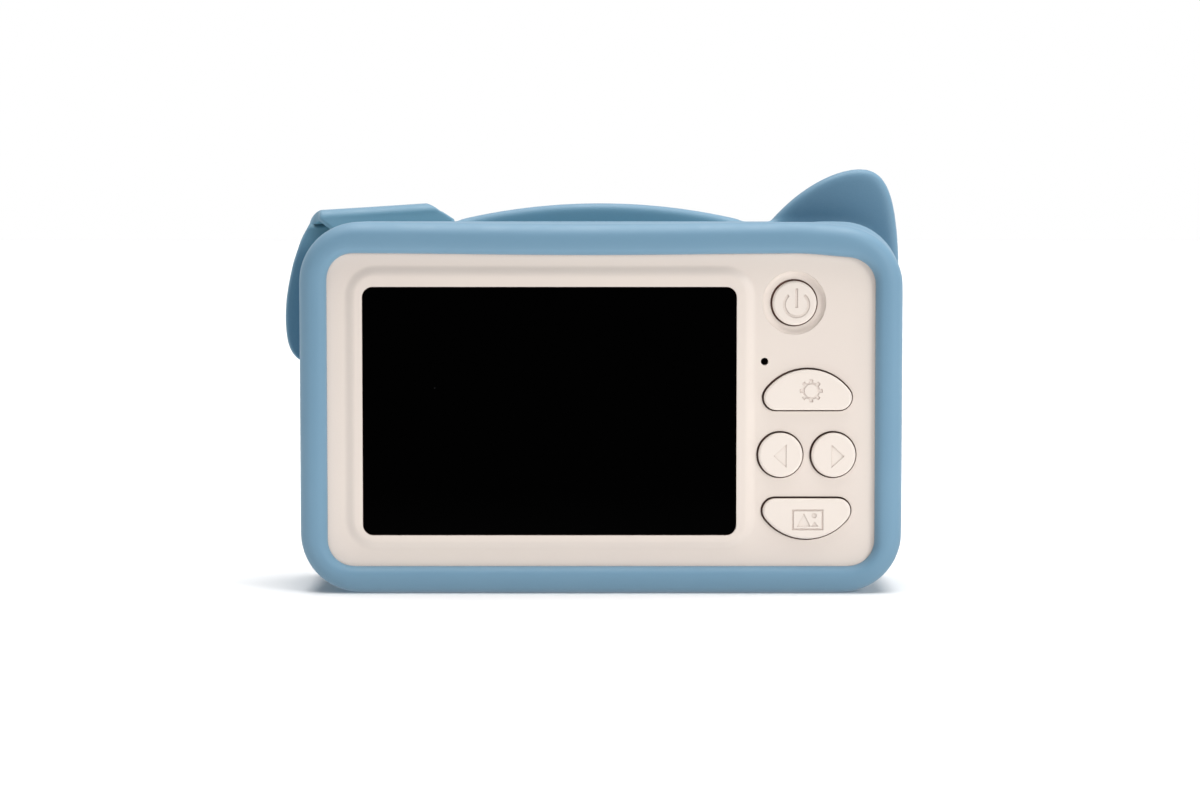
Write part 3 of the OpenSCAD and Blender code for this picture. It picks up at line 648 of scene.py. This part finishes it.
def linear(rgb):
    """Screen colour, 0 to 255, to the linear values that shaders use."""
    out = []
    for c in rgb:
        c = c / 255
        out.append(c / 12.92 if c <= 0.04045 else ((c + 0.055) / 1.055) ** 2.4)
    return (*out, 1.0)


class Shader:
    """A node tree being built, with a few short ways to add to it."""

    def __init__(self, name):
        self.material = bpy.data.materials.new(name)
        self.material.use_nodes = True
        self.tree = self.material.node_tree
        self.tree.nodes.clear()
        self.out = self.add("ShaderNodeOutputMaterial")
        self.bsdf = self.add("ShaderNodeBsdfPrincipled")
        self.link(self.bsdf.outputs[0], self.out.inputs[0])
        self.place = self.add("ShaderNodeTexCoord").outputs["Object"]

    def add(self, kind, **settings):
        """A new node of a kind, with its settings."""
        node = self.tree.nodes.new(kind)
        for key, value in settings.items():
            setattr(node, key, value)
        return node

    def link(self, a, b):
        """Connects an output to an input."""
        self.tree.links.new(a, b)

    def set(self, **values):
        """Plain values for the surface's inputs, with _ for a space in their names."""
        for key, value in values.items():
            self.bsdf.inputs[key.replace("_", " ")].default_value = value

    def noise(self, size_mm, detail=3.0, roughness=0.5, place=None):
        """Noise whose blobs are about size_mm across, 0 to 1."""
        node = self.add("ShaderNodeTexNoise")
        node.inputs["Scale"].default_value = 1 / (size_mm * MM)
        node.inputs["Detail"].default_value = detail
        node.inputs["Roughness"].default_value = roughness
        self.link(place or self.place, node.inputs["Vector"])
        return node.outputs["Fac"]

    def stretched(self, x, y, z):
        """Places on the object, scaled along each axis, for a pattern with a direction."""
        node = self.add("ShaderNodeMapping")
        node.inputs["Scale"].default_value = (x, y, z)
        self.link(self.place, node.inputs["Vector"])
        return node.outputs[0]

    def math(self, operation, a, b=0.0):
        """One sum of two sockets or numbers."""
        node = self.add("ShaderNodeMath", operation=operation)
        for socket, value in zip(node.inputs, (a, b)):
            if isinstance(value, (int, float)):
                socket.default_value = value
            else:
                self.link(value, socket)
        return node.outputs[0]

    def range(self, value, low, high, to_low, to_high):
        """Takes low..high to to_low..to_high, and keeps to that range."""
        node = self.add("ShaderNodeMapRange")
        self.link(value, node.inputs["Value"])
        for key, v in (("From Min", low), ("From Max", high), ("To Min", to_low), ("To Max", to_high)):
            node.inputs[key].default_value = v
        return node.outputs[0]

    def mix(self, share, a, b):
        """The colour a where share is 0, and b where it is 1."""
        node = self.add("ShaderNodeMix", data_type="RGBA")
        for socket, value in ((node.inputs[0], share), (node.inputs[6], a), (node.inputs[7], b)):
            if isinstance(value, (int, float, tuple, list)):
                socket.default_value = value
            else:
                self.link(value, socket)
        return node.outputs[2]

    def dots(self, cell_mm, radius_share, chance):
        """1 inside a few scattered specks, 0 elsewhere."""
        node = self.add("ShaderNodeTexVoronoi")
        node.inputs["Scale"].default_value = 1 / (cell_mm * MM)
        self.link(self.place, node.inputs["Vector"])
        inside = self.math("LESS_THAN", node.outputs["Distance"], radius_share)
        split = self.add("ShaderNodeSeparateColor")
        self.link(node.outputs["Color"], split.inputs[0])
        rare = self.math("LESS_THAN", split.outputs[0], chance)
        return self.math("MULTIPLY", inside, rare)

    def base(self, colour):
        """Uses a colour socket as the surface's own colour."""
        self.link(colour, self.bsdf.inputs["Base Color"])

    def roughness(self, pattern, low, high):
        """Lets the roughness follow a noise pattern between two values."""
        self.link(self.range(pattern, 0.3, 0.7, low, high), self.bsdf.inputs["Roughness"])

    def surface(self, height, depth_mm, edge_mm=0.0):
        """Bump from a height, over edges rounded by edge_mm."""
        bump = self.add("ShaderNodeBump")
        bump.inputs["Distance"].default_value = depth_mm * MM
        self.link(height, bump.inputs["Height"])
        if edge_mm:
            bevel = self.add("ShaderNodeBevel", samples=4)
            bevel.inputs["Radius"].default_value = edge_mm * MM
            self.link(bevel.outputs[0], bump.inputs["Normal"])
        self.link(bump.outputs[0], self.bsdf.inputs["Normal"])


DUST = (226, 232, 236)
# Painted shade on silicone: how far the ambient occlusion looks for what encloses the surface, and the openness
# over which the painted shade fades out.
SILICONE_PAINTED_SHADE_MM = 25
SILICONE_PAINTED_SHADE_OPENNESS = (0.45, 0.95)  # the deepening is full below the first openness and gone above the second
# Painted shade in the clefts of moulded plastic: how far its ambient occlusion looks, and the openness over which
# it fades out.
CLEFT_SHADE_MM = 1.0
CLEFT_SHADE_OPENNESS = (0.15, 0.6)  # and so is the tint of the clefts
DUST_SHARE = 0.55  # how much of the colour under it a speck covers
BOARD_MASK = (22, 92, 58)
BOARD_TRACKS = (44, 124, 78)
FOIL_LIGHT = (186, 190, 198)
FOIL_DARK = (160, 165, 176)


def darker(colour, share):
    """A screen colour times a share."""
    return [c * share for c in colour]


def silicone(name, colour, shade, painted_shade, painted_shade_darkest, along, own_only):
    """Matte moulded silicone: slightly dusty, finely grained, and darkened by painted shade where it is enclosed.

    along is an axis and two places on it, between which the painted shade passes into a darker painted shade.
    own_only leaves other pieces and the table out of what encloses it."""
    s = Shader(name)
    axis, start, end = along
    # Painted shade: a colour that darkens along an axis, mixed in where the ambient occlusion finds the surface
    # enclosed.
    split = s.add("ShaderNodeSeparateXYZ")
    s.link(s.place, split.inputs[0])
    painted_shade = s.mix(s.range(split.outputs[axis], start, end, 0.0, 1.0), linear(painted_shade), linear(painted_shade_darkest))
    base = s.mix(s.noise(14, 2), linear(colour), linear(shade))
    enclosed = s.add("ShaderNodeAmbientOcclusion", samples=6, only_local=own_only)
    enclosed.inputs["Distance"].default_value = SILICONE_PAINTED_SHADE_MM * MM
    openness = s.range(enclosed.outputs["AO"], *SILICONE_PAINTED_SHADE_OPENNESS, 0.0, 1.0)
    base = s.mix(openness, painted_shade, base)
    dusty = s.math("MULTIPLY", s.dots(cell_mm=4.5, radius_share=0.024, chance=0.35), DUST_SHARE)
    s.base(s.mix(dusty, base, linear(DUST)))
    s.roughness(s.noise(3, 4), 0.48, 0.6)
    s.set(Specular_IOR_Level=0.4, Sheen_Weight=0.12, Sheen_Roughness=0.5)
    s.surface(s.noise(0.28, 2), 0.012)
    return s.material


def moulded(
    name,
    colour,
    shade,
    rough=(0.45, 0.58),
    grain_mm=0.22,
    depth_mm=0.01,
    edge_mm=0.18,
    specular=0.4,
    gap=None,
):
    """Moulded plastic with the fine grain of an eroded mould and softened edges.

    gap is the colour of painted shade in the narrow clefts between two pieces, where there are any to see."""
    s = Shader(name)
    base = s.mix(s.noise(22, 2), linear(colour), linear(shade))
    # Painted shade, mixed in where a short ambient occlusion finds a narrow cleft.
    if gap:
        cleft = s.add("ShaderNodeAmbientOcclusion", samples=6)
        cleft.inputs["Distance"].default_value = CLEFT_SHADE_MM * MM
        base = s.mix(s.range(cleft.outputs["AO"], *CLEFT_SHADE_OPENNESS, 0.0, 1.0), linear(gap), base)
    s.base(base)
    s.roughness(s.noise(1.8, 4), *rough)
    s.set(Specular_IOR_Level=specular)
    s.surface(s.noise(grain_mm, 2), depth_mm, edge_mm)
    return s.material


def glossy_black(name, specular):
    """Coated black glass: it reflects little face on and more from the side, with a few specks of dust."""
    s = Shader(name)
    dust = s.dots(cell_mm=7.0, radius_share=0.02, chance=0.25)
    s.base(s.mix(dust, linear((0, 0, 0)), linear((20, 20, 21))))
    smear = s.noise(9, 3, place=s.stretched(1, 1, 2.5))
    s.link(s.range(smear, 0.35, 0.7, 0.03, 0.09), s.bsdf.inputs["Roughness"])
    facing = s.add("ShaderNodeLayerWeight").outputs["Facing"]
    s.link(s.range(facing, 0.2, 0.9, specular, 0.4), s.bsdf.inputs["Specular IOR Level"])
    s.surface(s.noise(30, 1), 0.002, 0.12)
    return s.material


def metal(name, colour, rough=(0.22, 0.4), grain=(1, 1, 12), grain_mm=0.5, edge_mm=0.08):
    """Pressed or drawn metal with a directional grain."""
    s = Shader(name)
    s.base(s.mix(s.noise(6, 2), linear(colour), linear(darker(colour, 0.88))))
    streak = s.noise(grain_mm, 3, place=s.stretched(*grain))
    s.roughness(streak, *rough)
    s.set(Metallic=1.0)
    s.surface(streak, 0.006, edge_mm)
    return s.material


def circuit_board(name):
    """Green solder mask with faint copper tracks under it."""
    s = Shader(name)
    tracks = s.add("ShaderNodeTexBrick", offset=0.35)
    tracks.inputs["Scale"].default_value = 1 / (4 * MM)
    tracks.inputs["Mortar Size"].default_value = 0.05
    tracks.inputs["Mortar Smooth"].default_value = 0.2
    turn = s.add("ShaderNodeMapping")
    turn.inputs["Rotation"].default_value = (math.radians(90), 0, 0)
    s.link(s.place, turn.inputs["Vector"])
    s.link(turn.outputs[0], tracks.inputs["Vector"])
    s.base(s.mix(tracks.outputs["Fac"], linear(BOARD_MASK), linear(BOARD_TRACKS)))
    s.roughness(s.noise(2, 3), 0.25, 0.4)
    s.surface(tracks.outputs["Fac"], 0.02)
    return s.material


def foil(name):
    """The crimped foil of a battery pouch."""
    s = Shader(name)
    s.base(s.mix(s.noise(8, 3), linear(FOIL_LIGHT), linear(FOIL_DARK)))
    s.set(Metallic=0.85)
    s.roughness(s.noise(4, 3), 0.28, 0.45)
    s.surface(s.noise(5, 2), 0.12)
    return s.material


def clear(name, colour, rough, alpha=1.0, transmission=0.0):
    """Glass or acrylic, tinted and a little hazy."""
    s = Shader(name)
    s.base(s.mix(s.noise(5, 2), linear(colour), linear(darker(colour, 0.92))))
    s.roughness(s.noise(6, 3), *rough)
    s.set(Transmission_Weight=transmission, IOR=1.5, Alpha=alpha)
    s.surface(s.noise(12, 2), 0.002)
    return s.material


# Every material slot: the function that makes it, and its settings.
recipes = {
    "silicone": (
        silicone,
        dict(
            colour=(109, 145, 168),
            shade=(104, 141, 165),
            # Painted shade where the sleeve is enclosed, darkest on the upright ear at the right.
            painted_shade=(97, 145, 167),
            painted_shade_darkest=(52, 99, 127),
            along=("X", 0.026, 0.034),
            own_only=True,
        ),
    ),
    "silicone_fold": (
        silicone,
        dict(
            colour=(110, 147, 169),
            shade=(105, 143, 166),
            # Painted shade where the folded ear is enclosed, darkest down the hanging flap.
            painted_shade=(92, 145, 166),
            painted_shade_darkest=(20, 94, 128),
            along=("Z", 0.061, 0.056),
            own_only=False,
        ),
    ),
    "inlay_dark": (
        moulded,
        dict(
            colour=(12, 12, 14),
            shade=(8, 8, 9),
            rough=(0.12, 0.2),
            grain_mm=0.6,
            depth_mm=0.002,
            edge_mm=0,
            specular=0.4,
        ),
    ),
    # The brown in shell and key_shell is painted shade in the narrow clefts between pieces.
    "shell": (moulded, dict(colour=(220, 209, 199), shade=(216, 204, 196), gap=(138, 70, 42))),
    "key_shell": (
        moulded,
        dict(
            colour=(225, 215, 206),
            shade=(222, 211, 202),
            rough=(0.4, 0.52),
            edge_mm=0.14,
            gap=(138, 70, 42),
        ),
    ),
    "screen_black": (glossy_black, dict(specular=0.008)),
    "adhesive": (
        moulded,
        dict(
            colour=(20, 20, 20),
            shade=(30, 30, 30),
            rough=(0.8, 0.9),
            grain_mm=0.3,
            depth_mm=0.03,
            edge_mm=0,
        ),
    ),
    "panel_dark": (glossy_black, dict(specular=0.4)),
    "backlight": (
        moulded,
        dict(
            colour=(240, 240, 234),
            shade=(232, 232, 228),
            rough=(0.3, 0.4),
            grain_mm=0.5,
            depth_mm=0.004,
        ),
    ),
    "bezel_steel": (metal, dict(colour=(186, 188, 192))),
    "ribbon": (
        moulded,
        dict(
            colour=(196, 128, 44),
            shade=(176, 108, 34),
            rough=(0.25, 0.35),
            grain_mm=1.2,
            depth_mm=0.01,
            edge_mm=0,
        ),
    ),
    "board_green": (circuit_board, dict()),
    "chip_black": (
        moulded,
        dict(
            colour=(26, 26, 28),
            shade=(34, 34, 36),
            rough=(0.5, 0.65),
            grain_mm=0.12,
            depth_mm=0.01,
            edge_mm=0.06,
        ),
    ),
    "component_tan": (
        moulded,
        dict(
            colour=(206, 198, 178),
            shade=(190, 180, 158),
            rough=(0.4, 0.55),
            grain_mm=0.3,
            depth_mm=0.01,
            edge_mm=0.05,
        ),
    ),
    "screw_steel": (
        metal,
        dict(colour=(180, 183, 188), rough=(0.28, 0.42), grain=(1, 1, 1), grain_mm=0.4),
    ),
    "switch_metal": (metal, dict(colour=(196, 197, 200), rough=(0.25, 0.4))),
    "plunger_black": (moulded, dict(colour=(24, 24, 25), shade=(34, 34, 36))),
    "spring_steel": (
        metal,
        dict(colour=(168, 170, 176), rough=(0.18, 0.3), grain=(1, 1, 1), grain_mm=0.3, edge_mm=0),
    ),
    "cell_foil": (foil, dict()),
    "wire_red": (
        moulded,
        dict(
            colour=(176, 20, 18),
            shade=(150, 14, 12),
            rough=(0.3, 0.42),
            grain_mm=0.3,
            depth_mm=0.01,
            edge_mm=0,
        ),
    ),
    "wire_black": (
        moulded,
        dict(
            colour=(20, 20, 21),
            shade=(34, 34, 36),
            rough=(0.3, 0.42),
            grain_mm=0.3,
            depth_mm=0.01,
            edge_mm=0,
        ),
    ),
    "mic_mesh": (
        moulded,
        dict(
            colour=(44, 34, 28),
            shade=(30, 24, 20),
            rough=(0.8, 0.9),
            grain_mm=0.12,
            depth_mm=0.05,
            edge_mm=0,
            specular=0.1,
        ),
    ),
    "boot_rubber": (
        moulded,
        dict(
            colour=(26, 26, 26),
            shade=(36, 36, 36),
            rough=(0.7, 0.85),
            grain_mm=0.2,
            depth_mm=0.02,
            edge_mm=0.1,
        ),
    ),
    "magnet_steel": (
        metal,
        dict(colour=(200, 200, 204), rough=(0.12, 0.22), grain=(1, 1, 1), grain_mm=1.5),
    ),
    "port_steel": (metal, dict(colour=(192, 194, 198), rough=(0.2, 0.34), grain=(12, 1, 1))),
    "card_black": (
        moulded,
        dict(
            colour=(24, 24, 27),
            shade=(32, 32, 36),
            rough=(0.4, 0.55),
            grain_mm=0.15,
            depth_mm=0.008,
            edge_mm=0.1,
        ),
    ),
    "bar_steel": (metal, dict(colour=(206, 207, 210), rough=(0.1, 0.2), grain=(1, 1, 6))),
    "sensor_glass": (glossy_black, dict(specular=0.5)),
    "lens_black": (
        moulded,
        dict(
            colour=(12, 12, 13),
            shade=(16, 16, 17),
            rough=(0.5, 0.6),
            grain_mm=0.2,
            depth_mm=0.004,
            edge_mm=0.1,
            specular=0.25,
        ),
    ),
    "lens_glass": (clear, dict(colour=(24, 28, 44), rough=(0.01, 0.03))),
    "window_smoke": (clear, dict(colour=(12, 12, 15), alpha=0.5, rough=(0.01, 0.03))),
    "ring_trim": (
        moulded,
        dict(
            colour=(227, 216, 206),
            shade=(221, 209, 200),
            rough=(0.3, 0.4),
            grain_mm=0.3,
            depth_mm=0.004,
            edge_mm=0.2,
        ),
    ),
    "led_yellow": (
        moulded,
        dict(
            colour=(236, 210, 96),
            shade=(226, 196, 78),
            rough=(0.3, 0.4),
            grain_mm=0.3,
            depth_mm=0.01,
            edge_mm=0.1,
        ),
    ),
    "flash_diffuser": (clear, dict(colour=(244, 244, 238), rough=(0.35, 0.5), transmission=0.8)),
}
materials = {name: make(name, **settings) for name, (make, settings) in recipes.items()}

slots = {part["node"]: part["material_slot"] for part in frame["record"]["subparts"]}
for node_name, node_object in frame["nodes"].items():
    node_object.data.materials.clear()
    node_object.data.materials.append(materials[slots[node_name]])

# ---------------------------------------------------------------- build

make_sleeve()
make_folded_ear()
make_inlays()

# ---------------------------------------------------------------- floor, light and camera

FLOOR_REACH = 6.0
BAND_GLOW = 2.7  # how many times stronger the floor glows in a band before and behind the object
BAND_RISE = (0.012, 0.032)  # metres from the middle of the object's depth
BAND_FALL = (0.08, 0.2)
WORLD_TURN = (-0.2, 0.6)  # from the camera's side to the far side, as the Y of a direction


def make_floor(seen, bounce, glow):
    """A white table: seen is its colour to the camera, bounce its colour to the object, and glow is extra
    light that it sends up to the object, as from a table lit from below."""
    corners = [(x * FLOOR_REACH, y * FLOOR_REACH, 0) for x, y in ((-1, -1), (1, -1), (1, 1), (-1, 1))]
    floor = mesh_object("floor", corners, [(0, 1, 2, 3)])
    s = Shader("floor")
    to_camera = s.add("ShaderNodeLightPath").outputs["Is Camera Ray"]
    cloud = s.mix(s.noise(400, 2), linear([seen] * 3), linear([seen - 2, seen - 2, seen - 1]))
    s.base(s.mix(to_camera, linear([bounce] * 3), cloud))
    s.set(Roughness=0.9, Specular_IOR_Level=0.1, Emission_Color=(1, 1, 1, 1))
    split = s.add("ShaderNodeSeparateXYZ")
    s.link(s.place, split.inputs[0])
    away = s.math("ABSOLUTE", split.outputs["Y"])
    band_glow = BAND_GLOW * glow
    rise = s.range(away, *BAND_RISE, glow, band_glow)
    fall = s.range(away, *BAND_FALL, band_glow, glow)
    unseen = s.math("SUBTRACT", 1.0, to_camera)
    s.link(s.math("MULTIPLY", unseen, s.math("MINIMUM", rise, fall)), s.bsdf.inputs["Emission Strength"])
    floor.data.materials.append(s.material)


def sun(name, towards, share, spread):
    """Parallel light from the direction towards; share is what a white wall facing it shows."""
    data = bpy.data.lights.new(name, "SUN")
    data.energy = share * math.pi
    data.angle = math.radians(spread)
    light = bpy.data.objects.new(name, data)
    light.rotation_euler = Vector(towards).to_track_quat("Z", "Y").to_euler()
    scene.collection.objects.link(light)


def area_light(name, place, target, size, power):
    """A square lamp at place that shines towards target."""
    data = bpy.data.lights.new(name, "AREA")
    data.size = size
    data.energy = power
    light = bpy.data.objects.new(name, data)
    light.location = place
    light.rotation_euler = (Vector(place) - Vector(target)).to_track_quat("Z", "Y").to_euler()
    scene.collection.objects.link(light)


def make_world(front, back, seen):
    """A white studio: dim on the camera's side, bright behind the object, and white to the camera."""
    world = bpy.data.worlds.new("studio")
    world.use_nodes = True
    nodes, links = world.node_tree.nodes, world.node_tree.links
    place = nodes.new("ShaderNodeTexCoord")
    split = nodes.new("ShaderNodeSeparateXYZ")
    links.new(place.outputs["Generated"], split.inputs[0])
    around = nodes.new("ShaderNodeMapRange")
    links.new(split.outputs["Y"], around.inputs["Value"])
    for key, value in zip(("From Min", "From Max", "To Min", "To Max"), (*WORLD_TURN, front, back)):
        around.inputs[key].default_value = value
    path = nodes.new("ShaderNodeLightPath")
    level = nodes.new("ShaderNodeMapRange")
    links.new(path.outputs["Is Camera Ray"], level.inputs["Value"])
    links.new(around.outputs[0], level.inputs["To Min"])
    level.inputs["To Max"].default_value = seen
    background = nodes["Background"]
    background.inputs["Color"].default_value = (1, 1, 1, 1)
    links.new(level.outputs[0], background.inputs["Strength"])
    scene.world = world


CAMERA_DISTANCE = 0.5
CAMERA_X = -0.00017
CAMERA_HEIGHT = 0.06374
CAMERA_AIM = 0.0324
CAMERA_LENS_MM = 90.3


def make_camera():
    """Sees the back from half a metre, a little above the middle, tilted slightly down."""
    data = bpy.data.cameras.new("camera")
    data.lens = CAMERA_LENS_MM
    data.sensor_width = 36
    data.clip_start = 0.01
    camera = bpy.data.objects.new("camera_view", data)
    camera.location = (CAMERA_X, RIM_Y * MM - CAMERA_DISTANCE, CAMERA_HEIGHT)
    target = Vector((CAMERA_X, RIM_Y * MM, CAMERA_AIM))
    camera.rotation_euler = (target - camera.location).to_track_quat("-Z", "Y").to_euler()
    scene.collection.objects.link(camera)
    scene.camera = camera


make_floor(seen=237, bounce=124, glow=0.55)
make_camera()
make_world(front=0.125, back=0.6, seen=1.0)
area_light("key", place=(0.5, -0.46, 0.3), target=(0, 0, 0.03), size=0.22, power=2.3)
sun("top", towards=(0.05, 0.0, 1.0), share=1.2, spread=50)
scene.view_settings.view_transform = "Standard"
